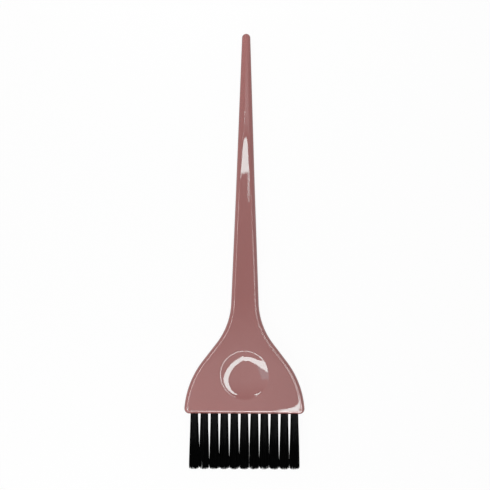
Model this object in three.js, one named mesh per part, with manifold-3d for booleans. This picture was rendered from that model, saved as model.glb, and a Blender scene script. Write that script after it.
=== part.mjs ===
// Tint brush for hair colour: a one-piece moulded handle with a wide flat head, a thumb dish on each
// face and a round sectioning tail. Eleven bristle tufts stand in one row of blind holes in the end of
// the head, and each is folded over a flat wire anchor that holds it in its hole.
//
// Millimetres. The brush lies on its back: X runs across the head, +Y runs along the handle to the
// tip of the tail and +Z points out of the front face. The origin is under the middle of the brush.
import * as THREE from "three";
import { mergeVertices } from "three/addons/utils/BufferGeometryUtils.js";
import Module from "manifold-3d";

const { clamp, degToRad, lerp, mapLinear, smoothstep } = THREE.MathUtils;
const wasm = await Module();
wasm.setup();

// ---- Driving dimensions ----------------------------------------------------------------------
const HANDLE_LENGTH = 190;
const BRISTLE_LENGTH = 27.4; // free length, from the end of the head to the tips
const HEAD_THICKNESS = 7;

// Half of the outline, from the end of the head (s = 0) to the tip of the tail (s = HANDLE_LENGTH).
// Each corner is [half width, s, fillet radius].
const TIP_RADIUS = 2.08;
const TIP_S = HANDLE_LENGTH - TIP_RADIUS; // where the tail's side meets its round tip
const OUTLINE_CORNERS = [
  [30.3, 0, 2.6], // corner of the head
  [28.95, 16, 44], // shoulder
  [7.34, 44.1, 35], // neck
  [4.77, 111, 3000], // a very slight belly half way along the shaft
  [TIP_RADIUS, TIP_S, 0],
];

// The handle is a blank with round flanks, cut flat on both faces. The tail is thinner than the cut,
// so it stays round, and the flats run out into it in a point.
const SIDE_FLANK_RADIUS = 4.6;
const END_FLANK_RADIUS = 6.2;
const HEAD_BLEND = 0.6; // how softly the flanks turn into the faces, along the sides of the head
const END_BLEND = 0.95; // along its end
const TAIL_BLEND = 0.32; // and on the tail

// The faces of the head fall away towards its edges, at a steady slope that eases out to flat.
const SIDE_SLOPE = 0.058;
const END_SLOPE = 0.077;
const SLOPE_WIDTH = 2.8; // from the edge to where the slope starts to ease
const EASE_WIDTH = 6.5; // and from there to the flat

const DISH_S = 19.4;
const DISH_RADIUS = 13.2;
const DISH_BOWL_RADIUS = 60;
const DISH_LIP_RADIUS = 8;

const TUFT_COUNT = 11;
const TUFT_PITCH = 5;
const HOLE_RADIUS = 2;
const HOLE_DEPTH = 9.5;
const TUFT_ROOT_RADIUS = 1.7;
const TUFT_TIP_HALF_X = 2.33;
const TUFT_TIP_HALF_Z = 2.6;
const FOLD_GAP = 0.3; // from the folded end of the tuft to the bottom of its hole

const ANCHOR = { x: 0.4, y: 1.6, z: 4.6 }; // flat wire, across the row
const ANCHOR_DEPTH = 7.4; // from the mouth of the hole to the middle of the anchor
const ANCHOR_PLAY = 0.2; // on every side of the anchor, in its pocket and in the eye of the tuft

// ---- Places in the part's frame --------------------------------------------------------------
const END_Y = BRISTLE_LENGTH - (HANDLE_LENGTH + BRISTLE_LENGTH) / 2; // the end face of the head
const MIDDLE_Z = HEAD_THICKNESS / 2;

// ---- Materials -------------------------------------------------------------------------------
const rosePlastic = new THREE.MeshStandardMaterial({ color: "#9a6a67", roughness: 0.18, metalness: 0 });
const blackNylon = new THREE.MeshStandardMaterial({ color: "#0f0f10", roughness: 0.45, metalness: 0 });
const brassWire = new THREE.MeshStandardMaterial({ color: "#b9975b", roughness: 0.35, metalness: 1 });

// ---- Solids ----------------------------------------------------------------------------------
function solid(geometry) {
  const bare = geometry.clone();
  bare.deleteAttribute("normal");
  bare.deleteAttribute("uv");
  const merged = mergeVertices(bare, 1e-4);
  return new wasm.Manifold(
    new wasm.Mesh({
      numProp: 3,
      vertProperties: merged.attributes.position.array,
      triVerts: new Uint32Array(merged.index.array),
    }),
  );
}

function geometryOf(manifold) {
  const { vertProperties, triVerts, numProp } = manifold.getMesh();
  const positions = new Float32Array((vertProperties.length / numProp) * 3);
  for (let i = 0; i < positions.length / 3; i++) {
    positions.set(vertProperties.subarray(i * numProp, i * numProp + 3), i * 3);
  }
  const geometry = new THREE.BufferGeometry();
  geometry.setAttribute("position", new THREE.BufferAttribute(positions, 3));
  geometry.setIndex(new THREE.BufferAttribute(triVerts, 1));
  geometry.computeVertexNormals();
  return geometry;
}

// A closed skin through rings of points, which run clockwise as the first end faces the viewer. Every
// ring has the same number of points, and each end is closed by a fan about a point of its own.
function skin(rings, firstPoint, lastPoint) {
  const count = rings[0].length;
  const points = [...rings.flat(), firstPoint, lastPoint];
  const [firstIndex, lastIndex] = [points.length - 2, points.length - 1];
  const faces = [];
  for (let j = 0; j < count; j++) {
    const next = (j + 1) % count;
    faces.push(firstIndex, next, j);
    for (let i = 0; i < rings.length - 1; i++) {
      const [a, b] = [i * count + j, i * count + next];
      faces.push(a, b, a + count, b, b + count, a + count);
    }
    const last = (rings.length - 1) * count;
    faces.push(lastIndex, last + j, last + next);
  }
  const geometry = new THREE.BufferGeometry().setFromPoints(points);
  geometry.setIndex(faces);
  return geometry;
}

// ---- Outline of the handle, seen from the front ----------------------------------------------
const FILLET_STEPS = 16;

// The points of the arc that rounds one corner of a path.
function filletedCorner(before, corner, after, radius) {
  const into = before.clone().sub(corner).normalize();
  const out = after.clone().sub(corner).normalize();
  const half = into.angleTo(out) / 2;
  const centre = corner.clone().add(into.clone().add(out).setLength(radius / Math.sin(half)));
  const start = corner.clone().addScaledVector(into, radius / Math.tan(half));
  const end = corner.clone().addScaledVector(out, radius / Math.tan(half));
  const from = start.clone().sub(centre).angle();
  let sweep = end.clone().sub(centre).angle() - from;
  if (sweep > Math.PI) sweep -= 2 * Math.PI;
  if (sweep < -Math.PI) sweep += 2 * Math.PI;
  const arc = new THREE.EllipseCurve(centre.x, centre.y, radius, radius, from, from + sweep, sweep < 0);
  return arc.getPoints(FILLET_STEPS);
}

function halfOutline() {
  const middle = new THREE.Vector2(0, 0);
  const through = [middle, ...OUTLINE_CORNERS.map(([x, s]) => new THREE.Vector2(x, s))];
  const points = [middle];
  for (let i = 1; i < through.length - 1; i++) {
    const radius = OUTLINE_CORNERS[i - 1][2];
    points.push(...filletedCorner(through[i - 1], through[i], through[i + 1], radius));
  }
  const tip = new THREE.EllipseCurve(0, TIP_S, TIP_RADIUS, TIP_RADIUS, 0, Math.PI / 2);
  return [...points, ...tip.getPoints(8)];
}

const OUTLINE = halfOutline();
const SIDE_START = 1 + FILLET_STEPS; // the point where the head's corner turns into its side

function halfWidth(s) {
  for (let i = 1; i < OUTLINE.length - 1; i++) {
    const [a, b] = [OUTLINE[i], OUTLINE[i + 1]];
    if (s <= b.y) return b.y - a.y < 1e-9 ? b.x : mapLinear(s, a.y, b.y, a.x, b.x);
  }
  return OUTLINE.at(-1).x;
}

// Distance from a point of the face to the outline, from one point of the outline onwards.
function edgeDistance(x, s, start = 0) {
  const point = new THREE.Vector3(Math.abs(x), s, 0);
  const nearest = new THREE.Vector3();
  let least = Infinity;
  for (let i = start; i < OUTLINE.length - 1; i++) {
    const [a, b] = [OUTLINE[i], OUTLINE[i + 1]];
    const side = new THREE.Line3(new THREE.Vector3(a.x, a.y, 0), new THREE.Vector3(b.x, b.y, 0));
    side.closestPointToPoint(point, true, nearest);
    least = Math.min(least, nearest.distanceTo(point));
  }
  return least;
}

// ---- Thickness of the handle -----------------------------------------------------------------
// The lesser of two heights, with a rounded change between them.
function softLesser(a, b, blend) {
  const overlap = Math.max(blend - Math.abs(a - b), 0);
  return Math.min(a, b) - overlap ** 2 / (4 * blend);
}

// How far a face has fallen away at a distance from one edge of the head.
function crownDrop(distance, slope) {
  const share = clamp(1 - (distance - SLOPE_WIDTH) / EASE_WIDTH, 0, 1);
  return slope * (Math.max(SLOPE_WIDTH - distance, 0) + (EASE_WIDTH / 3) * share ** 3);
}

function faceHeight(x, s) {
  const distance = edgeDistance(x, s);
  const side = edgeDistance(x, s, SIDE_START);
  const width = halfWidth(Math.min(s, TIP_S));
  const endShare = smoothstep(side - s, -2, 2); // 1 where the end of the head is nearer than its side
  const radius = Math.min(lerp(SIDE_FLANK_RADIUS, END_FLANK_RADIUS, endShare), width);
  const inward = Math.max(radius - distance, 0);
  const flank = Math.sqrt(radius ** 2 - inward ** 2);
  const crown = crownDrop(side, SIDE_SLOPE) + crownDrop(s, END_SLOPE);
  const face = MIDDLE_Z - crown * smoothstep(width, 8, 16);
  const sideBlend = lerp(TAIL_BLEND, HEAD_BLEND, smoothstep(width, 5, 12));
  return softLesser(flank, face, sideBlend + (END_BLEND - HEAD_BLEND) * endShare);
}

// ---- Handle ----------------------------------------------------------------------------------
const EDGE_PLACES = [0, 0.12, 0.45, 0.95, 1.5, 2.3]; // distances inwards from the outline
const SMALLEST_LAND = 0.1; // the two faces meet in a narrow land all round the outline
const MOST_STRETCH = 1.4; // how much wider the places lie where the outline slants
const MOST_EDGE = 0.7; // the share of the half width that the places by the edge may take up
const LEAST_FLAT = 0.15; // and the share that is kept for the flat

// Places across one face, from the edge of the outline to its middle.
function placesAcross(s) {
  const width = halfWidth(s);
  const slope = Math.atan(halfWidth(s + 0.5) - halfWidth(s - 0.5));
  const stretch = Math.min(1 / Math.cos(slope), MOST_STRETCH);
  const squeeze = Math.min(stretch, (MOST_EDGE * width) / EDGE_PLACES.at(-1));
  const edge = EDGE_PLACES.map((place) => width - place * squeeze);
  const crownEnd = (SLOPE_WIDTH + EASE_WIDTH) * stretch;
  const flat = Math.max(width - crownEnd, LEAST_FLAT * width);
  return [...edge, (edge.at(-1) + flat) / 2, flat, 0];
}

// Places along the handle: close together at the edge of the head, and round the tip.

function handleStations() {
  const head = [3.6, 5.6, 8, 11, 14.5, 18, 21.5, 25, 28, 31, 34, 37, 40, 43, 46.5, 50, 54, 60];
  const shaft = [70, 82, 94, 104, 113, 121, 128, 133, 138, 143, 155, 172, TIP_S];
  const tip = [30, 55, 78].map((angle) => TIP_S + TIP_RADIUS * Math.sin(degToRad(angle)));
  return [...EDGE_PLACES, ...head, ...shaft, ...tip];
}

function handleBlank() {
  const rings = handleStations().map((s) => {
    const right = placesAcross(s);
    const left = right.slice(0, -1).map((x) => -x);
    const across = [...left, ...right.toReversed()];
    const ring = (x, side) => {
      const height = Math.max(faceHeight(x, s), SMALLEST_LAND);
      return new THREE.Vector3(x, END_Y + s, MIDDLE_Z + side * height);
    };
    return [...across.map((x) => ring(x, 1)), ...across.toReversed().map((x) => ring(x, -1))];
  });
  const [end, tip] = [0, HANDLE_LENGTH].map((s) => new THREE.Vector3(0, END_Y + s, MIDDLE_Z));
  return solid(skin(rings, end, tip));
}

// The space that a thumb dish takes, opening along +Z at z = 0: a shallow bowl with a rounded lip.
function dishSpace() {
  const tilt = Math.asin(DISH_RADIUS / (DISH_BOWL_RADIUS + DISH_LIP_RADIUS)); // where bowl meets lip
  const depth = (DISH_BOWL_RADIUS + DISH_LIP_RADIUS) * (1 - Math.cos(tilt));
  const bowl = new THREE.EllipseCurve(
    0,
    DISH_BOWL_RADIUS - depth,
    DISH_BOWL_RADIUS,
    DISH_BOWL_RADIUS,
    -Math.PI / 2,
    tilt - Math.PI / 2,
  );
  const lip = new THREE.EllipseCurve(
    DISH_RADIUS,
    -DISH_LIP_RADIUS,
    DISH_LIP_RADIUS,
    DISH_LIP_RADIUS,
    tilt + Math.PI / 2,
    Math.PI / 2,
    true,
  );
  const [outside, clear, above] = [DISH_RADIUS + 0.5, 0.07, 1];
  const lathe = new THREE.LatheGeometry(
    [
      ...bowl.getPoints(5),
      ...lip.getPoints(2).slice(1),
      new THREE.Vector2(outside, clear),
      new THREE.Vector2(outside, above),
      new THREE.Vector2(0, above),
    ],
    32,
  );
  lathe.rotateX(Math.PI / 2);
  return lathe;
}

function tuftPlace(index) {
  return (index - (TUFT_COUNT - 1) / 2) * TUFT_PITCH;
}

// The blind hole of one tuft, with the pocket that the ends of its anchor bite into.
function holeSpace(x) {
  const mouthExtra = 1;
  const length = HOLE_DEPTH + mouthExtra;
  const bore = new THREE.CylinderGeometry(HOLE_RADIUS, HOLE_RADIUS, length, 16);
  bore.translate(x, END_Y + HOLE_DEPTH - length / 2, MIDDLE_Z);
  const pocket = new THREE.BoxGeometry(
    ANCHOR.x + 2 * ANCHOR_PLAY,
    ANCHOR.y + 2 * ANCHOR_PLAY,
    ANCHOR.z + 2 * ANCHOR_PLAY,
  );
  pocket.translate(x, END_Y + ANCHOR_DEPTH, MIDDLE_Z);
  return solid(bore).add(solid(pocket));
}

function handle() {
  let body = handleBlank();
  const front = dishSpace().translate(0, END_Y + DISH_S, HEAD_THICKNESS);
  const back = dishSpace().rotateY(Math.PI).translate(0, END_Y + DISH_S, 0);
  body = body.subtract(solid(front)).subtract(solid(back));
  for (let i = 0; i < TUFT_COUNT; i++) {
    body = body.subtract(holeSpace(tuftPlace(i)));
  }
  return geometryOf(body);
}

// ---- Tufts and anchors -----------------------------------------------------------------------
// One tuft as a single body: filaments packed round in the hole, fanned out and trimmed to a soft
// crown at the tips, with the eye of the fold that the anchor passes through. The stations are
// [y, half size across the row, half size through the brush], from the fold to the tips.
function tuft() {
  const sides = 12;
  const foldY = HOLE_DEPTH - FOLD_GAP;
  const crown = 0.9;
  const stations = [
    [foldY, 1.0, 1.25],
    [foldY - 0.55, TUFT_ROOT_RADIUS, TUFT_ROOT_RADIUS],
    [0, TUFT_ROOT_RADIUS, TUFT_ROOT_RADIUS],
    [-0.3 * BRISTLE_LENGTH, 2, 2],
    [-0.65 * BRISTLE_LENGTH, 2.23, 2.3],
    [crown - BRISTLE_LENGTH, TUFT_TIP_HALF_X, TUFT_TIP_HALF_Z],
    [-BRISTLE_LENGTH, 0.55 * TUFT_TIP_HALF_X, 0.55 * TUFT_TIP_HALF_Z],
  ];
  const rings = stations.toReversed().map(([y, halfX, halfZ]) => {
    const ring = [];
    for (let j = 0; j < sides; j++) {
      const angle = (-2 * Math.PI * j) / sides;
      ring.push(new THREE.Vector3(halfX * Math.cos(angle), y, halfZ * Math.sin(angle)));
    }
    return ring;
  });
  const eye = new THREE.BoxGeometry(ANCHOR.x + 2 * ANCHOR_PLAY, ANCHOR.y + 2 * ANCHOR_PLAY, 10);
  eye.translate(0, ANCHOR_DEPTH, 0);
  const ends = [new THREE.Vector3(0, -BRISTLE_LENGTH, 0), new THREE.Vector3(0, foldY, 0)];
  return geometryOf(solid(skin(rings, ...ends)).subtract(solid(eye)));
}

// A piece of flat wire with its four corners nipped off where it was cut.
function anchor() {
  const [halfY, halfZ, nip] = [ANCHOR.y / 2, ANCHOR.z / 2, 0.3];
  const outline = new THREE.Shape([
    new THREE.Vector2(-halfZ, nip - halfY),
    new THREE.Vector2(nip - halfZ, -halfY),
    new THREE.Vector2(halfZ - nip, -halfY),
    new THREE.Vector2(halfZ, nip - halfY),
    new THREE.Vector2(halfZ, halfY - nip),
    new THREE.Vector2(halfZ - nip, halfY),
    new THREE.Vector2(nip - halfZ, halfY),
    new THREE.Vector2(-halfZ, halfY - nip),
  ]);
  const wire = new THREE.ExtrudeGeometry(outline, { depth: ANCHOR.x, bevelEnabled: false });
  wire.translate(0, 0, -ANCHOR.x / 2);
  return wire.rotateY(Math.PI / 2);
}

// ---- Assembly --------------------------------------------------------------------------------
const brush = new THREE.Group();

function addPiece(name, geometry, material, x = 0, y = 0, z = 0) {
  const mesh = new THREE.Mesh(geometry, material);
  mesh.name = name;
  mesh.position.set(x, y, z);
  brush.add(mesh);
}

addPiece("handle", handle(), rosePlastic);

const tuftGeometry = tuft();
const anchorGeometry = anchor();
for (let i = 0; i < TUFT_COUNT; i++) {
  const number = String(i + 1).padStart(2, "0");
  addPiece(`bristle_tuft_${number}`, tuftGeometry, blackNylon, tuftPlace(i), END_Y, MIDDLE_Z);
  addPiece(`anchor_${number}`, anchorGeometry, brassWire, tuftPlace(i), END_Y + ANCHOR_DEPTH, MIDDLE_Z);
}

export default brush;
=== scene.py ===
import math

import bmesh
import bpy
import numpy as np
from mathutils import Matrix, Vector


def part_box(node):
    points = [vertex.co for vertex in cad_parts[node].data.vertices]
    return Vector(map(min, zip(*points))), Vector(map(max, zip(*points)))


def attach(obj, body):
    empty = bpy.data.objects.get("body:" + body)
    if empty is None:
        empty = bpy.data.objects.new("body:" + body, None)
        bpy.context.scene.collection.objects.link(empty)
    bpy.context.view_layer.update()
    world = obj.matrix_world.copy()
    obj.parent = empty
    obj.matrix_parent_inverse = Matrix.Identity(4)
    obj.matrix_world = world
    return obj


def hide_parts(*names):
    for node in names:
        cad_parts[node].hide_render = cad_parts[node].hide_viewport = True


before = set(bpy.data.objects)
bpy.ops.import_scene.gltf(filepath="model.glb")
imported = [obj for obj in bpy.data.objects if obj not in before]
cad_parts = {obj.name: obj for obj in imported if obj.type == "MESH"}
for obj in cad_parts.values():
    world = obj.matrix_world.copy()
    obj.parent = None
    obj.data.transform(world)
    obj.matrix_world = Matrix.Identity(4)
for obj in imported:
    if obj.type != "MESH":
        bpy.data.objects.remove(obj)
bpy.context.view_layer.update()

# Lengths in this script are millimetres until they reach a mesh, a light or the camera. A place on the
# handle is (x, s): x across it, and s along it from the end of the head to the tip of the tail.
MM = 0.001

# ---- Sizes read from the frame ---------------------------------------------------------------
handle_low, handle_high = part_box("handle")
END_Y = handle_low.y / MM  # the end face of the head, in the frame
HANDLE_LENGTH = (handle_high.y - handle_low.y) / MM
HALF_THICKNESS = (handle_high.z - handle_low.z) / MM / 2
MIDDLE_Z = (handle_high.z + handle_low.z) / MM / 2
TUFTS = sorted(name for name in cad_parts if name.startswith("bristle_tuft_"))
ANCHORS = sorted(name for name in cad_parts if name.startswith("anchor_"))
TUFT_X = [sum(corner.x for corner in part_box(name)) / 2 / MM for name in TUFTS]
TUFT_PITCH = (TUFT_X[-1] - TUFT_X[0]) / (len(TUFTS) - 1)
BRISTLE_LENGTH = END_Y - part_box(TUFTS[0])[0].y / MM
FOLD_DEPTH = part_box(TUFTS[0])[1].y / MM - END_Y
anchor_low, anchor_high = (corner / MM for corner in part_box(ANCHORS[0]))
ANCHOR_SIZE = anchor_high - anchor_low
ANCHOR_DEPTH = (anchor_low.y + anchor_high.y) / 2 - END_Y

# ---- Sizes of the handle's form, the same as the CAD model's ---------------------------------
TIP_RADIUS = 2.08
TIP_S = HANDLE_LENGTH - TIP_RADIUS
OUTLINE_CORNERS = [  # half width, s, fillet radius
    (30.3, 0, 2.6),
    (28.95, 16.0, 44),
    (7.34, 44.1, 35),
    (4.77, 111, 3000),
    (TIP_RADIUS, TIP_S, 0),
]
SIDE_FLANK_RADIUS = 4.6
END_FLANK_RADIUS = 6.2
HEAD_BLEND = 0.6
END_BLEND = 0.95
TAIL_BLEND = 0.32
SIDE_SLOPE = 0.058  # of the faces of the head, near its sides
END_SLOPE = 0.077  # and near its end
SLOPE_WIDTH = 2.8
EASE_WIDTH = 6.5
FLAT_WIDTHS = (8, 16)  # half widths of the handle between which the slopes fade in
BLEND_WIDTHS = (5, 12)  # and between which the tail's blend turns into the head's
DISH_S = 19.4
DISH_RADIUS = 13.2
DISH_BOWL_RADIUS = 60
DISH_LIP_RADIUS = 8
HOLE_RADIUS = 2
HOLE_DEPTH = 9.5


# ---- Outline ---------------------------------------------------------------------------------
def fillet(before, corner, after, radius):
    """The arc that rounds one corner of a path, as points about 0.1 mm apart."""
    into = (before - corner).normalized()
    out = (after - corner).normalized()
    half = into.angle(out) / 2
    centre = corner + (into + out).normalized() * (radius / math.sin(half))
    start = corner + into * (radius / math.tan(half)) - centre
    end = corner + out * (radius / math.tan(half)) - centre
    turn = math.atan2(start.x * end.y - start.y * end.x, start.dot(end))
    steps = max(12, round(abs(turn) * radius / 0.1))
    first = math.atan2(start.y, start.x)
    angles = [first + turn * i / steps for i in range(steps + 1)]
    return [centre + Vector((math.cos(a), math.sin(a))) * radius for a in angles]


def half_outline():
    corners = [Vector((0, 0))] + [Vector((x, s)) for x, s, _ in OUTLINE_CORNERS]
    points = [corners[0]]
    for i in range(1, len(corners) - 1):
        points += fillet(corners[i - 1], corners[i], corners[i + 1], OUTLINE_CORNERS[i - 1][2])
    steps = 24
    for i in range(steps + 1):
        angle = math.pi / 2 * i / steps
        points.append(Vector((math.cos(angle), math.sin(angle))) * TIP_RADIUS + Vector((0, TIP_S)))
    return np.array([tuple(p) for p in points])


OUTLINE = half_outline()
CORNER_END = int(np.argmax(OUTLINE[:, 1] > OUTLINE_CORNERS[0][2]))  # where the side begins
LENGTHS = np.concatenate([[0], np.cumsum(np.linalg.norm(np.diff(OUTLINE, axis=0), axis=1))])


def outline_at(lengths):
    """Points of the outline at these lengths along it, and the outward normals there."""
    points = np.stack([np.interp(lengths, LENGTHS, OUTLINE[:, i]) for i in (0, 1)], axis=1)
    reach = 0.05
    low, high = np.clip(lengths - reach, 0, LENGTHS[-1]), np.clip(lengths + reach, 0, LENGTHS[-1])
    ahead = np.stack([np.interp(high, LENGTHS, OUTLINE[:, i]) for i in (0, 1)], axis=1)
    behind = np.stack([np.interp(low, LENGTHS, OUTLINE[:, i]) for i in (0, 1)], axis=1)
    along = ahead - behind
    along /= np.linalg.norm(along, axis=1, keepdims=True)
    normals = np.stack([along[:, 1], -along[:, 0]], axis=1)
    normals[np.abs(points[:, 0]) < 1e-9, 0] = 0
    normals[lengths <= 0] = (0, -1)
    normals[lengths >= LENGTHS[-1] - 1e-9] = (0, 1)
    return points, normals


def half_width(s):
    side = OUTLINE[1:]
    return np.interp(np.clip(s, 0, TIP_S), side[:, 1], side[:, 0])


def edge_distance(points, edges=slice(None)):
    """Distance from each (x, s) to the nearest edge of the outline."""
    start, step = OUTLINE[:-1][edges], np.diff(OUTLINE, axis=0)[edges]
    size = (step**2).sum(axis=1)
    mirrored = np.abs(points * (1, 0)) + points * (0, 1)
    found = np.empty(len(points))
    for i in range(0, len(points), 2000):
        part = mirrored[i : i + 2000, None, :] - start[None]
        share = np.clip((part * step).sum(axis=2) / size, 0, 1)
        found[i : i + 2000] = np.sqrt(((part - share[..., None] * step) ** 2).sum(axis=2).min(axis=1))
    return found


# ---- Height of the faces ---------------------------------------------------------------------
def smoothstep(value, low, high):
    share = np.clip((value - low) / (high - low), 0, 1)
    return share * share * (3 - 2 * share)


def soft_lesser(a, b, blend):
    overlap = np.maximum(blend - np.abs(a - b), 0)
    return np.minimum(a, b) - overlap**2 / (4 * blend)


def dish_drop(radius):
    """How deep the thumb dish is at a distance from its middle: a shallow bowl with a rounded lip."""
    tilt = math.asin(DISH_RADIUS / (DISH_BOWL_RADIUS + DISH_LIP_RADIUS))
    meeting = DISH_BOWL_RADIUS * math.sin(tilt)
    depth = (DISH_BOWL_RADIUS + DISH_LIP_RADIUS) * (1 - math.cos(tilt))
    inside = np.minimum(radius, meeting)
    bowl = depth - DISH_BOWL_RADIUS + np.sqrt(DISH_BOWL_RADIUS**2 - inside**2)
    out = np.clip(DISH_RADIUS - radius, 0, DISH_RADIUS - meeting)
    lip = DISH_LIP_RADIUS - np.sqrt(DISH_LIP_RADIUS**2 - out**2)
    return np.where(radius < meeting, bowl, lip)


def sink(points):
    """The faint waviness that a thick moulding is left with as it cools."""
    x, s = points[:, 0], points[:, 1]
    wave = np.sin(0.31 * x + 0.23 * s + 0.4) * np.sin(0.17 * s - 0.12 * x + 1.9)
    wave += 0.6 * np.sin(0.52 * x - 0.41 * s + 2.2) * np.sin(0.36 * x + 0.29 * s)
    return 0.004 * wave * smoothstep(half_width(s), 4, 12)


def crown_drop(distance, slope):
    """How far a face has fallen away at a distance from an edge: a straight slope that eases out."""
    share = np.clip(1 - (distance - SLOPE_WIDTH) / EASE_WIDTH, 0, 1)
    return slope * (np.maximum(SLOPE_WIDTH - distance, 0) + EASE_WIDTH / 3 * share**3)


def face_height(points):
    distance = edge_distance(points)
    side = edge_distance(points, slice(CORNER_END, None))
    end = points[:, 1]
    width = half_width(end)
    end_share = smoothstep(side - end, -2, 2)  # 1 where the end is the nearer edge
    radius = SIDE_FLANK_RADIUS + (END_FLANK_RADIUS - SIDE_FLANK_RADIUS) * end_share
    radius = np.minimum(radius, width)
    inward = np.maximum(radius - distance, 0)
    flank = np.sqrt(np.maximum(radius**2 - inward**2, 0))
    crown = crown_drop(side, SIDE_SLOPE) + crown_drop(end, END_SLOPE)
    face = HALF_THICKNESS - crown * smoothstep(width, *FLAT_WIDTHS)
    blend = TAIL_BLEND + (HEAD_BLEND - TAIL_BLEND) * smoothstep(width, *BLEND_WIDTHS)
    blend = blend + (END_BLEND - HEAD_BLEND) * end_share
    height = soft_lesser(flank, face, blend)
    height -= dish_drop(np.hypot(points[:, 0], end - DISH_S))
    return np.where(distance < 1e-6, 0, height + sink(points) * smoothstep(distance, 1.5, 4))


# ---- Handle ----------------------------------------------------------------------------------
# One quarter of the surface, right of the middle and in front, is laid out as four grids that share
# their borders: a band along the outline, the middle of the shaft, the head round the dish, and the dish.
EDGE_PLACES = np.array(  # distances of the band's columns from the outline
    [0, 0.015, 0.05, 0.12, 0.21, 0.33, 0.47, 0.62, 0.78, 0.94, 1.1, 1.25, 1.4, 1.55, 1.7, 1.9, 2.15, 2.5]
)
JOIN_S = 49  # where the head's grid meets the shaft's
DISH_RINGS = np.concatenate([np.linspace(0, 10.5, 20), np.linspace(10.75, 13.25, 15), [13.5]])
HEAD_STEPS = 22
SHAFT_COLUMNS = 5


def outline_samples():
    """Lengths along the outline, closer together round the corner of the head and the tip."""
    corner = LENGTHS[CORNER_END - 2]  # just short of the side
    corner_from = corner - OUTLINE_CORNERS[0][2] * math.pi / 2
    join = np.interp(JOIN_S, OUTLINE[1:-1, 1], LENGTHS[1:-1])
    tip = np.interp(TIP_S - 0.5, OUTLINE[1:-1, 1], LENGTHS[1:-1])
    parts = [
        np.linspace(0, corner_from, 36),
        np.linspace(corner_from, corner + 1, 18)[1:],
        np.linspace(corner + 1, join, 56)[1:],
    ]
    head = np.concatenate(parts)
    tail = np.concatenate([np.linspace(join, tip, 130)[1:], np.linspace(tip, LENGTHS[-1], 14)[1:]])
    return head, tail


def edge_band(lengths):
    points, normals = outline_at(lengths)
    squeeze = np.minimum(1, 0.8 * half_width(points[:, 1]) / EDGE_PLACES[-1])
    return points[:, None] - normals[:, None] * (EDGE_PLACES[None, :] * squeeze[:, None])[..., None]


def handle_grids():
    head_lengths, tail_lengths = outline_samples()
    band = edge_band(np.concatenate([head_lengths, tail_lengths]))
    inner = band[:, -1]
    shaft_inner = inner[len(head_lengths) - 1 :]
    across = np.linspace(1, 0, SHAFT_COLUMNS)
    shaft = np.stack([shaft_inner[:, 0, None] * across, shaft_inner[:, 1, None] + 0 * across], axis=-1)
    border = np.concatenate([inner[: len(head_lengths)], shaft[0, 1:]])
    middle = np.array([0, DISH_S])
    outward = border - middle
    outward /= np.linalg.norm(outward, axis=1, keepdims=True)
    dish = middle + outward[:, None] * DISH_RINGS[None, :, None]
    share = np.linspace(0, 1, HEAD_STEPS)[None, :, None]
    head = dish[:, -1, None] * (1 - share) + border[:, None] * share
    return [band, shaft, head, dish]


def add_grid(mesh, grid, mirror_x, mirror_z):
    rows, columns = grid.shape[:2]
    flat = grid.reshape(-1, 2)
    height = face_height(flat)
    x = -flat[:, 0] if mirror_x else flat[:, 0]
    z = MIDDLE_Z - height if mirror_z else MIDDLE_Z + height
    places = np.stack([x, END_Y + flat[:, 1], z], axis=1) * MM
    verts = [mesh.verts.new(p) for p in places]
    for i in range(rows - 1):
        for j in range(columns - 1):
            a = i * columns + j
            corners = [verts[a], verts[a + 1], verts[a + columns + 1], verts[a + columns]]
            mesh.faces.new(corners)


def handle_blank():
    mesh = bmesh.new()
    grids = handle_grids()
    for mirror_x in (False, True):
        for mirror_z in (False, True):
            for grid in grids:
                add_grid(mesh, grid, mirror_x, mirror_z)
    bmesh.ops.remove_doubles(mesh, verts=mesh.verts, dist=1e-3 * MM)
    bmesh.ops.recalc_face_normals(mesh, faces=mesh.faces)
    return mesh_object("handle_moulding", mesh)


def add_object(name, data):
    made = bpy.data.objects.new(name, data)
    bpy.context.scene.collection.objects.link(made)
    return made


def mesh_object(name, mesh):
    data = bpy.data.meshes.new(name)
    mesh.to_mesh(data)
    mesh.free()
    return add_object(name, data)


def hole_cutter():
    """The bores for the tufts, each with a small countersink at its mouth and a taper at its end."""
    mesh = bmesh.new()
    countersink, taper = 0.32, 0.5
    profile = [  # radius, depth
        (HOLE_RADIUS + 0.9, -1.0),
        (HOLE_RADIUS, countersink),
        (HOLE_RADIUS, HOLE_DEPTH - taper),
        (HOLE_RADIUS - taper, HOLE_DEPTH),
    ]
    sides = 48
    for x in TUFT_X:
        rings = []
        for radius, depth in profile:
            ring = []
            for j in range(sides):
                angle = 2 * math.pi * (j + 0.5) / sides
                place = (x + radius * math.cos(angle), END_Y + depth, MIDDLE_Z + radius * math.sin(angle))
                ring.append(mesh.verts.new(Vector(place) * MM))
            rings.append(ring)
        for ring, following in zip(rings, rings[1:]):
            for j in range(sides):
                nxt = (j + 1) % sides
                mesh.faces.new([ring[j], ring[nxt], following[nxt], following[j]])
        mesh.faces.new(rings[0][::-1])
        mesh.faces.new(rings[-1])
    bmesh.ops.recalc_face_normals(mesh, faces=mesh.faces)
    return mesh_object("hole_cutter", mesh)


def pocket_cutter():
    """The slots that the ends of the anchors bite into the walls of the bores."""
    mesh = bmesh.new()
    play = 0.03
    for x in TUFT_X:
        made = bmesh.ops.create_cube(mesh, size=1)["verts"]
        for vert in made:
            vert.co.x = (x + vert.co.x * (ANCHOR_SIZE.x + 2 * play)) * MM
            vert.co.y = (END_Y + ANCHOR_DEPTH + vert.co.y * (ANCHOR_SIZE.y + 2 * play)) * MM
            vert.co.z = (MIDDLE_Z + vert.co.z * (ANCHOR_SIZE.z + 2 * play)) * MM
    return mesh_object("pocket_cutter", mesh)


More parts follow.
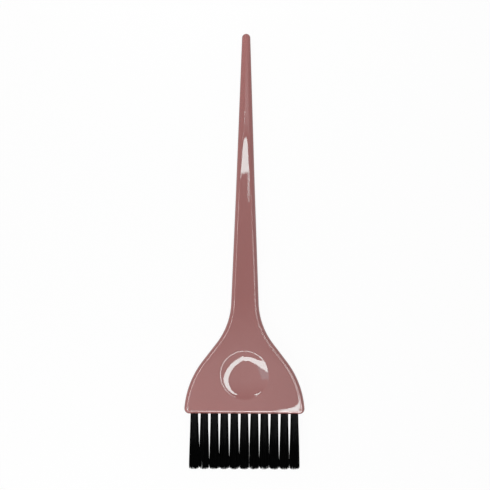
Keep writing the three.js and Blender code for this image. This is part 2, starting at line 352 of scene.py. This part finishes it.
def cut(piece, cutter):
    modifier = piece.modifiers.new("cut", "BOOLEAN")
    modifier.operation = "DIFFERENCE"
    modifier.solver = "EXACT"
    modifier.object = cutter
    evaluated = piece.evaluated_get(bpy.context.evaluated_depsgraph_get())
    result = bpy.data.meshes.new_from_object(evaluated)
    piece.modifiers.clear()
    piece.data = result
    bpy.data.objects.remove(cutter)


def make_handle():
    piece = handle_blank()
    cut(piece, hole_cutter())
    cut(piece, pocket_cutter())
    piece.data.shade_smooth()
    piece.data.set_sharp_from_angle(angle=math.radians(35))
    return piece


# ---- Bristles --------------------------------------------------------------------------------
FILAMENT_RADIUS = 0.1
FILAMENTS_PER_TUFT = 88
FILAMENT_SIDES = 6
BUNDLE_RADIUS = 1.975
# Where along the bristles each gap between two tufts closes, from the head (0) to the tips (1).
GAP_CLOSES = [0.66, 0.91, 0.74, 0.88, 0.78, 0.6, 0.88, 0.62, 0.92, 0.76]
OUTER_FLARE = (0.7, 0.75)  # how far the row's left and right ends widen at the tips
THICKNESS_FLARE = 0.35  # how far a tuft widens at its tips from front to back, as a share
TIP_CROWN = 0.75  # how much shorter a tuft is at its sides than in its middle
FACE_CROWN = 0.4  # and at its front and back
LONGEST_EXTRA = 0.4  # how far the longest filaments stand out past the CAD tuft
LENGTH_SPREAD = 0.9  # the most that a filament is shorter than its neighbours
STRAY = 0.09  # spread of the tips about their places
BEND = 0.05  # and of the middles of the filaments
TAPER = np.array([0.3, 0.8, 1.0])  # share of the full radius at the last three points of a filament
LEG_SHARES = np.array([1, 0.95, 0.88, 0.76, 0.6, 0.42, 0.22, 0.06, 0])  # along the free length
BURIED_SHARES = np.array([0.35, 0.7, 1.0])  # along the way from the mouth of the hole to the anchor


def packed_places():
    """Places of the filaments' right-hand legs in the mouth of a hole, packed like sunflower seeds."""
    outer = BUNDLE_RADIUS - FILAMENT_RADIUS
    seeds = np.arange(2 * FILAMENTS_PER_TUFT)
    radius = outer * np.sqrt((seeds + 0.5) / len(seeds))
    angle = seeds * math.pi * (3 - math.sqrt(5))
    places = np.stack([radius * np.cos(angle), radius * np.sin(angle)], axis=1)
    return places[places[:, 0] > 0]


def half_spread(index, side, share):
    """Half width of a tuft on one side, along its free length (share is 0 at the head, 1 at the tips)."""
    gap = index if side > 0 else index - 1
    if 0 <= gap < len(GAP_CLOSES):
        return BUNDLE_RADIUS + (TUFT_PITCH / 2 - BUNDLE_RADIUS) * np.clip(share / GAP_CLOSES[gap], 0, 1)
    return BUNDLE_RADIUS + OUTER_FLARE[1 if side > 0 else 0] * share


def leg_path(index, side, places, random):
    """One leg of every filament of a tuft, from its tip to the anchor: (filaments, points, 3)."""
    count = len(places)
    x, z = places[:, 0], places[:, 1]
    share = LEG_SHARES[None, :]
    outer = BUNDLE_RADIUS - FILAMENT_RADIUS
    # A round bundle at the head turns into a squarer one where it meets its neighbours.
    squared = np.minimum(x / np.sqrt(outer**2 - np.minimum(np.abs(z), 0.93 * outer) ** 2), 1)
    square = np.sqrt(np.minimum(share / 0.5, 1))
    across = (x / outer)[:, None] * (1 - square) + squared[:, None] * square
    room = half_spread(index, side, share) - FILAMENT_RADIUS
    drop = TIP_CROWN * squared**3 + FACE_CROWN * (z / outer) ** 2
    length = BRISTLE_LENGTH + LONGEST_EXTRA - drop - LENGTH_SPREAD * random.random(count) ** 2
    stray = random.normal(0, STRAY, (2, count))
    bend = random.normal(0, BEND, (2, count))
    wander = share**1.5
    arch = np.sin(np.pi * share)
    out_x = across * room + stray[0][:, None] * wander + bend[0][:, None] * arch
    out_x = np.clip(out_x, 0.8 * x[:, None] - 0.2 * wander, room + 0.03 * share)
    out_z = z[:, None] * (1 + THICKNESS_FLARE * share**0.9)
    out_z = out_z + stray[1][:, None] * wander + bend[1][:, None] * arch
    out_y = -length[:, None] * share
    inside = BURIED_SHARES[None, :]
    nearest = 0.33  # least distance of a leg from the middle of the anchor
    anchor_x = nearest + x * (outer - nearest) / outer
    ease = inside * inside * (3 - 2 * inside)
    in_x = x[:, None] * (1 - ease) + anchor_x[:, None] * ease
    in_y = (ANCHOR_DEPTH - 0.5 * ANCHOR_SIZE.y) * inside + 0 * x[:, None]
    in_z = z[:, None] + 0 * inside
    path = np.stack(
        [
            np.concatenate([out_x, in_x], axis=1) * side,
            np.concatenate([out_y, in_y], axis=1),
            np.concatenate([out_z, in_z], axis=1),
        ],
        axis=-1,
    )
    return path, anchor_x


def fold_path(anchor_x, z):
    """The turn of each filament round the deep edge of the anchor, from the right leg to the left."""
    lead, play = 0.3, 0.06
    start = ANCHOR_DEPTH + lead
    deepest = FOLD_DEPTH - start - FILAMENT_RADIUS
    least = ANCHOR_SIZE.y / 2 - lead + FILAMENT_RADIUS + play
    share = (anchor_x - anchor_x.min()) / (anchor_x.max() - anchor_x.min())
    depth = least + (deepest - least) * share
    angles = np.linspace(0, math.pi, 9)[None, :]
    x = anchor_x[:, None] * np.cos(angles)
    y = start + depth[:, None] * np.sin(angles)
    return np.stack([x, y, z[:, None] + 0 * angles], axis=-1)


def tube_mesh(name, paths, radii):
    """One mesh of closed tubes. Every path bends mainly in the plane of X and Y."""
    count, points = paths.shape[:2]
    along = np.gradient(paths, axis=1)
    along /= np.linalg.norm(along, axis=2, keepdims=True)
    second = np.cross(along, np.array([0, 0, 1.0]))
    second /= np.linalg.norm(second, axis=2, keepdims=True)
    third = np.cross(second, along)
    angles = np.arange(FILAMENT_SIDES) * 2 * math.pi / FILAMENT_SIDES
    ring = second[:, :, None] * np.cos(angles)[None, None, :, None]
    ring = ring + third[:, :, None] * np.sin(angles)[None, None, :, None]
    verts = paths[:, :, None] + ring * radii[None, :, None, None]
    index = np.arange(count * points * FILAMENT_SIDES).reshape(count, points, FILAMENT_SIDES)
    here, there = index[:, :-1], index[:, 1:]
    quads = np.stack([here, there, np.roll(there, -1, 2), np.roll(here, -1, 2)], axis=-1).reshape(-1, 4)
    caps = np.concatenate([index[:, 0], index[:, -1, ::-1]])
    data = bpy.data.meshes.new(name)
    data.from_pydata(verts.reshape(-1, 3).tolist(), [], quads.tolist() + caps.tolist())
    data.shade_smooth()
    data.set_sharp_from_angle(angle=math.radians(75))
    return add_object(name, data)


def make_tuft(index, name):
    random = np.random.default_rng(400 + index)
    places = packed_places()
    right, anchor_x = leg_path(index, 1, places, random)
    left, _ = leg_path(index, -1, places, random)
    paths = np.concatenate([right, fold_path(anchor_x, places[:, 1]), left[:, ::-1]], axis=1)
    paths = (paths + np.array([TUFT_X[index], END_Y, MIDDLE_Z])) * MM
    radii = np.full(paths.shape[1], FILAMENT_RADIUS * MM)
    radii[:3] *= TAPER
    radii[-3:] *= TAPER[::-1]
    return tube_mesh(name, paths, radii)


# ---- Materials -------------------------------------------------------------------------------
def new_material(name):
    material = bpy.data.materials.new(name)
    material.use_nodes = True
    nodes = material.node_tree.nodes
    nodes.clear()
    shader = nodes.new("ShaderNodeBsdfPrincipled")
    output = nodes.new("ShaderNodeOutputMaterial")
    material.node_tree.links.new(shader.outputs["BSDF"], output.inputs["Surface"])
    return material, nodes, material.node_tree.links, shader


def scaled_place(nodes, links, scale):
    """The place on the object, in metres, times a scale for each axis."""
    place = nodes.new("ShaderNodeTexCoord")
    mapping = nodes.new("ShaderNodeMapping")
    mapping.inputs["Scale"].default_value = scale
    links.new(place.outputs["Object"], mapping.inputs["Vector"])
    return mapping.outputs["Vector"]


def noise(nodes, links, scale, detail, roughness=0.5):
    texture = nodes.new("ShaderNodeTexNoise")
    texture.inputs["Scale"].default_value = 1.0
    texture.inputs["Detail"].default_value = detail
    texture.inputs["Roughness"].default_value = roughness
    links.new(scaled_place(nodes, links, scale), texture.inputs["Vector"])
    return texture.outputs["Fac"]


def spread(nodes, links, value, low, high, from_low=0.3, from_high=0.7):
    """Maps a value between two limits."""
    mapped = nodes.new("ShaderNodeMapRange")
    mapped.inputs["From Min"].default_value = from_low
    mapped.inputs["From Max"].default_value = from_high
    mapped.inputs["To Min"].default_value = low
    mapped.inputs["To Max"].default_value = high
    links.new(value, mapped.inputs["Value"])
    return mapped.outputs["Result"]


def mix_colours(nodes, links, share, first, second):
    mix = nodes.new("ShaderNodeMix")
    mix.data_type = "RGBA"
    links.new(share, mix.inputs["Factor"])
    for socket, value in ((mix.inputs["A"], first), (mix.inputs["B"], second)):
        if isinstance(value, tuple):
            socket.default_value = (*value, 1)
        else:
            links.new(value, socket)
    return mix.outputs["Result"]


def product(nodes, links, first, second):
    """Two values multiplied. The second can be a plain number."""
    multiply = nodes.new("ShaderNodeMath")
    multiply.operation = "MULTIPLY"
    links.new(first, multiply.inputs[0])
    if isinstance(second, float):
        multiply.inputs[1].default_value = second
    else:
        links.new(second, multiply.inputs[1])
    return multiply.outputs["Value"]


def coordinate(nodes, links, vector, axis):
    """One of the coordinates of a place: X, Y or Z."""
    split = nodes.new("ShaderNodeSeparateXYZ")
    links.new(vector, split.inputs["Vector"])
    return split.outputs[axis]


def bump(nodes, links, height, distance):
    node = nodes.new("ShaderNodeBump")
    node.inputs["Strength"].default_value = 1.0
    node.inputs["Distance"].default_value = distance
    links.new(height, node.inputs["Height"])
    return node.outputs["Normal"]


def rose_plastic():
    material, nodes, links, shader = new_material("rose_plastic")
    cloud = spread(nodes, links, noise(nodes, links, (70, 45, 70), 2), 0, 1)
    base = mix_colours(nodes, links, cloud, (0.312, 0.1215, 0.1145), (0.324, 0.1285, 0.1215))
    speck = spread(nodes, links, noise(nodes, links, (5200, 5200, 5200), 1), 0, 1, 0.68, 0.8)
    base = mix_colours(nodes, links, speck, base, (0.36, 0.19, 0.18))
    links.new(base, shader.inputs["Base Color"])
    smear = noise(nodes, links, (900, 160, 900), 4, 0.6)
    links.new(spread(nodes, links, smear, 0.02, 0.035), shader.inputs["Roughness"])
    peel = noise(nodes, links, (1400, 1400, 1400), 1)
    links.new(bump(nodes, links, peel, 0.0000012), shader.inputs["Normal"])
    shader.inputs["IOR"].default_value = 1.5
    shader.inputs["Subsurface Weight"].default_value = 0.06
    shader.inputs["Subsurface Radius"].default_value = (1.0, 0.45, 0.4)
    shader.inputs["Subsurface Scale"].default_value = 0.0012
    return material


def black_nylon():
    material, nodes, links, shader = new_material("black_nylon")
    along = coordinate(nodes, links, scaled_place(nodes, links, (1, 1, 1)), "Y")
    # Painted light and shade: the nylon's colour is painted lighter near the head and darker towards the
    # tips.
    tips = spread(nodes, links, along, 1, 0, (END_Y - 20) * MM, (END_Y - 9) * MM)
    root = spread(nodes, links, along, 0, 1, (END_Y - 16) * MM, END_Y * MM)
    strand = spread(nodes, links, noise(nodes, links, (4200, 60, 4200), 1), 0, 1)
    middle = mix_colours(nodes, links, strand, (0.0012, 0.0012, 0.0014), (0.0022, 0.0022, 0.0024))
    dark = mix_colours(nodes, links, tips, middle, (0.0008, 0.0008, 0.0009))
    painted_lit_grey = mix_colours(nodes, links, strand, (0.0045, 0.0045, 0.005), (0.0115, 0.0115, 0.012))
    # Painted shade: the outer filaments of a tuft are painted darker, as if they lie in the shade of the
    # next tuft.
    place = nodes.new("ShaderNodeTexCoord")
    across = coordinate(nodes, links, place.outputs["Generated"], "X")
    left = spread(nodes, links, across, 0, 1, 0.12, 0.36)
    right = spread(nodes, links, across, 1, 0, 0.64, 0.88)
    painted_light_share = product(nodes, links, root, product(nodes, links, left, right))
    links.new(mix_colours(nodes, links, painted_light_share, dark, painted_lit_grey), shader.inputs["Base Color"])
    links.new(spread(nodes, links, strand, 0.5, 0.62, 0, 1), shader.inputs["Roughness"])
    # The painted light share also raises the specular level near the roots, which gives a painted sheen
    # there.
    links.new(spread(nodes, links, painted_light_share, 0.004, 0.034, 0, 1), shader.inputs["Specular IOR Level"])
    return material


def brass_wire():
    material, nodes, links, shader = new_material("brass_wire")
    drawn = noise(nodes, links, (9000, 9000, 400), 3)
    tarnish = spread(nodes, links, noise(nodes, links, (900, 900, 900), 3), 0, 1)
    base = mix_colours(nodes, links, tarnish, (0.56, 0.37, 0.13), (0.4, 0.25, 0.09))
    links.new(base, shader.inputs["Base Color"])
    links.new(spread(nodes, links, drawn, 0.24, 0.42), shader.inputs["Roughness"])
    links.new(bump(nodes, links, drawn, 0.000004), shader.inputs["Normal"])
    shader.inputs["Metallic"].default_value = 1.0
    return material


def dress(piece, material):
    piece.data.materials.clear()
    piece.data.materials.append(material)


# ---- The brush -------------------------------------------------------------------------------
def make_brush():
    handle = make_handle()
    dress(handle, rose_plastic())
    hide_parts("handle")
    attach(handle, "root")
    nylon = black_nylon()
    for index, node in enumerate(TUFTS):
        tuft = make_tuft(index, f"bristles_{index + 1:02d}")
        dress(tuft, nylon)
        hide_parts(node)
        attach(tuft, "root")
    brass = brass_wire()
    for node in ANCHORS:
        dress(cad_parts[node], brass)


# ---- Stage -----------------------------------------------------------------------------------
# The brush is seen from straight above. Its gloss shows the lights of the studio: flat panels high up,
# and low bands that follow its outline. The panels and bands only show in reflections.
CAMERA_HEIGHT = 1024.3
LENS = 150.0
VIEW_X = -0.1
VIEW_Y = 3.1
VIEW_ROLL = math.radians(0.27)
CEILING = 1021.0  # height of the highest panels
STRIP_HEIGHT = 450
TAIL_BOX_HEIGHT = 300
GLOW_HEIGHT = 150
FLOOR_REACH = 4000
FLOOR_DROP = 0.2  # how far the floor lies below the brush
BACKDROP_RADIUS = 5000


def emitter(name, strength, colour=(1, 1, 1)):
    material = bpy.data.materials.new(name)
    material.use_nodes = True
    nodes = material.node_tree.nodes
    nodes.clear()
    glow = nodes.new("ShaderNodeEmission")
    glow.inputs["Color"].default_value = (*colour, 1)
    glow.inputs["Strength"].default_value = strength
    output = nodes.new("ShaderNodeOutputMaterial")
    material.node_tree.links.new(glow.outputs["Emission"], output.inputs["Surface"])
    return material


def haze(name, strength, rise, fall):
    """A light that can be seen through, and that fades in and out along Y."""
    material = emitter(name, strength)
    nodes, links = material.node_tree.nodes, material.node_tree.links
    glow, output = nodes["Emission"], nodes["Material Output"]
    along = coordinate(nodes, links, scaled_place(nodes, links, (1, 1, 1)), "Y")
    fade_in = spread(nodes, links, along, 0, 1, rise[0] * MM, rise[1] * MM)
    fade_out = spread(nodes, links, along, 0, 1, fall[0] * MM, fall[1] * MM)
    level = product(nodes, links, product(nodes, links, fade_in, fade_out), strength)
    links.new(level, glow.inputs["Strength"])
    clear = nodes.new("ShaderNodeBsdfTransparent")
    both = nodes.new("ShaderNodeAddShader")
    links.new(glow.outputs["Emission"], both.inputs[0])
    links.new(clear.outputs["BSDF"], both.inputs[1])
    links.new(both.outputs["Shader"], output.inputs["Surface"])
    return material


def sheet(name, outline, height):
    """The mesh of a flat sheet of any outline."""
    data = bpy.data.meshes.new(name)
    data.from_pydata([Vector((x, y, height)) * MM for x, y in outline], [], [range(len(outline))])
    return data


def hang(name, data, material):
    """Adds a panel that only shows in reflections."""
    panel = add_object(name, data)
    data.materials.append(material)
    panel.visible_camera = False
    panel.visible_shadow = False
    panel.visible_diffuse = False


def light_panel(name, outline, material, height):
    hang(name, sheet(name, outline, height), material)


def rectangle(left, right, low, high):
    return [(left, low), (right, low), (right, high), (left, high)]


def ribbon(stations):
    """The outline of a smooth curved band through stations of (x, y, half width)."""
    stations = np.array(stations, dtype=float)
    ends = np.stack([2 * stations[0] - stations[1], 2 * stations[-1] - stations[-2]])
    path = np.concatenate([ends[:1], stations, ends[1:]])
    curve = []
    for i in range(1, len(path) - 2):
        before, here, there, after = path[i - 1 : i + 3]
        for t in np.arange(0, 1, 0.125):
            cubic = (-before + 3 * here - 3 * there + after) * t**3
            square = (2 * before - 5 * here + 4 * there - after) * t**2
            curve.append((cubic + square + (there - before) * t + 2 * here) / 2)
    curve = np.array(curve + [stations[-1]])
    along = np.gradient(curve[:, :2], axis=0)
    along /= np.linalg.norm(along, axis=1, keepdims=True)
    side = np.stack([-along[:, 1], along[:, 0]], axis=1) * curve[:, 2:]
    return np.concatenate([curve[:, :2] + side, (curve[:, :2] - side)[::-1]]).tolist()


def rim_light(name, side, stations):
    """A low band of light that follows one side of the outline. Its stations are (length along the
    outline, strength)."""
    height, near, far = 60, 27, 90
    lengths = np.arange(stations[0][0], stations[-1][0] + 1, 1.5)
    points, normals = outline_at(lengths)
    verts = []
    for point, normal in zip(points, normals):
        for reach in (near, far):
            x, s = point + normal * reach
            verts.append(Vector((side * x, END_Y + s, height)) * MM)
    faces = [(i, i + 1, i + 3, i + 2) for i in range(0, len(verts) - 2, 2)]
    data = bpy.data.meshes.new(name)
    data.from_pydata(verts, [], faces)
    strengths = data.attributes.new("glow", "FLOAT", "POINT")
    levels = np.interp(lengths, [station[0] for station in stations], [station[1] for station in stations])
    strengths.data.foreach_set("value", np.repeat(levels, 2))
    material = emitter(name, 1)
    reader = material.node_tree.nodes.new("ShaderNodeAttribute")
    reader.attribute_name = "glow"
    glow = material.node_tree.nodes["Emission"]
    material.node_tree.links.new(reader.outputs["Fac"], glow.inputs["Strength"])
    hang(name, data, material)


def fill_light(name, place, size, radiance, aim):
    """A lamp that lights the brush without showing in it."""
    data = bpy.data.lights.new(name, "AREA")
    data.shape = "RECTANGLE"
    data.size, data.size_y = size[0] * MM, size[1] * MM
    data.energy = radiance * math.pi * data.size * data.size_y
    lamp = add_object(name, data)
    lamp.location = Vector(place) * MM
    lamp.rotation_euler = (Vector(aim) - Vector(place)).to_track_quat("-Z", "Y").to_euler()
    lamp.visible_camera = False
    lamp.visible_glossy = False


def make_floor():
    data = sheet("floor", rectangle(-FLOOR_REACH, FLOOR_REACH, -FLOOR_REACH, FLOOR_REACH), -FLOOR_DROP)
    floor = add_object("floor", data)
    material, _, _, shader = new_material("floor")
    shader.inputs["Base Color"].default_value = (0.04, 0.04, 0.04, 1)
    shader.inputs["Roughness"].default_value = 1.0
    shader.inputs["Specular IOR Level"].default_value = 0.0
    shader.inputs["Emission Color"].default_value = (1, 1, 1, 1)
    shader.inputs["Emission Strength"].default_value = 0.95
    data.materials.append(material)
    floor.visible_glossy = False


def make_backdrop():
    mesh = bmesh.new()
    bmesh.ops.create_uvsphere(mesh, u_segments=48, v_segments=24, radius=BACKDROP_RADIUS * MM)
    backdrop = mesh_object("backdrop", mesh)
    backdrop.data.materials.append(emitter("backdrop", 0.985))
    backdrop.visible_diffuse = False
    backdrop.visible_glossy = False
    backdrop.visible_transmission = False
    backdrop.visible_shadow = False


def make_world():
    world = bpy.data.worlds.new("world")
    world.use_nodes = True
    world.node_tree.nodes["Background"].inputs["Color"].default_value = (0.6, 0.6, 0.6, 1)
    bpy.context.scene.world = world


def make_strips(bright):
    """The two long curved lights that the dish shows, the first also in the head's right corner."""
    right_strip = [
        (50, 41.5, 2.6),
        (86.5, 21, 7.6),
        (116, -13, 13.5),
        (129, -59, 17.6),
        (115, -111, 18.5),
        (77, -163, 17),
        (43, -191, 16),
        (5, -219, 12),
    ]
    lower_strip = [
        (45, -408, 26),
        (-20, -405, 36),
        (-95, -398, 38),
        (-195, -352, 44),
        (-290, -312, 62),
        (-350, -262, 48),
        (-376, -190, 8),
    ]
    light_panel("right_strip", ribbon(right_strip), bright, STRIP_HEIGHT)
    light_panel("lower_strip", ribbon(lower_strip), bright, CEILING - 1)


def make_windows(bright):
    """The straight-edged lights: two more in the dish, and one in the tail."""
    cool_window = [(-292, -45), (-345, -70), (-400, -66), (-400, -260), (-260, -330), (-200, -300)]
    cool_window.append((-262, -130))
    corner_box = [(-152, 188), (-230, 162), (-279, 131), (-300, 145), (-215, 195)]
    tail_box = [(-45, 47), (-4, 47), (-3, 49.5), (1.8, 49.5), (1.9, 31.5), (2.35, 31.5), (2.8, 49)]
    tail_box += [(5.5, 57), (11.5, 72.5), (-45, 72.5)]
    cool = emitter("cool_window", 2.2, (0.45, 0.9, 1.0))
    light_panel("cool_window", cool_window, cool, CEILING)
    light_panel("corner_box", corner_box, bright, CEILING)
    light_panel("tail_box", tail_box, bright, TAIL_BOX_HEIGHT)


def make_rim_lights():
    left = [(0, 11), (22, 10), (28, 4.5), (36, 8), (60, 9), (72, 6), (80, 4), (90, 2), (100, 4)]
    left += [(140, 7.5), (156, 0)]
    right = [(0, 17), (10, 15.5), (18, 16), (24, 31), (27, 27), (34, 7.5), (66, 6.2), (84, 5)]
    right += [(92, 3.4), (112, 5), (122, 4), (131, 0)]
    rim_light("left_rim", -1, left)
    rim_light("right_rim", 1, right)


def make_soft_lights():
    """Faint glows over the head and the tail, and the lamps that light the plastic itself."""
    head_haze = haze("paddle_glow", 0.9, (-28, -60), (-220, -200))
    light_panel("paddle_glow", rectangle(-120, 120, -220, -28), head_haze, GLOW_HEIGHT)
    tail_haze = haze("tail_glow", 1.3, (66, 84), (132, 100))
    light_panel("tail_glow", rectangle(-40, 160, 68, 135), tail_haze, GLOW_HEIGHT)
    fill_light("paddle_fill", (-80, -170, 160), (160, 100), 3.6, (0, -60, 0))
    fill_light("tail_fill", (-35, 185, 140), (120, 80), 5.1, (0, 105, 0))


def make_lights():
    make_world()
    bright = emitter("bright", 14.2, (0.82, 1.0, 0.99))
    make_strips(bright)
    make_windows(bright)
    make_rim_lights()
    make_soft_lights()


def make_camera():
    data = bpy.data.cameras.new("camera")
    data.lens = LENS
    data.clip_start, data.clip_end = 10 * MM, 10 * BACKDROP_RADIUS * MM
    camera = add_object("camera", data)
    camera.location = Vector((VIEW_X, VIEW_Y, CAMERA_HEIGHT)) * MM
    camera.rotation_euler = (0, 0, VIEW_ROLL)
    bpy.context.scene.camera = camera


make_camera()
make_brush()
make_floor()
make_backdrop()
make_lights()
bpy.context.scene.view_settings.view_transform = "Standard"
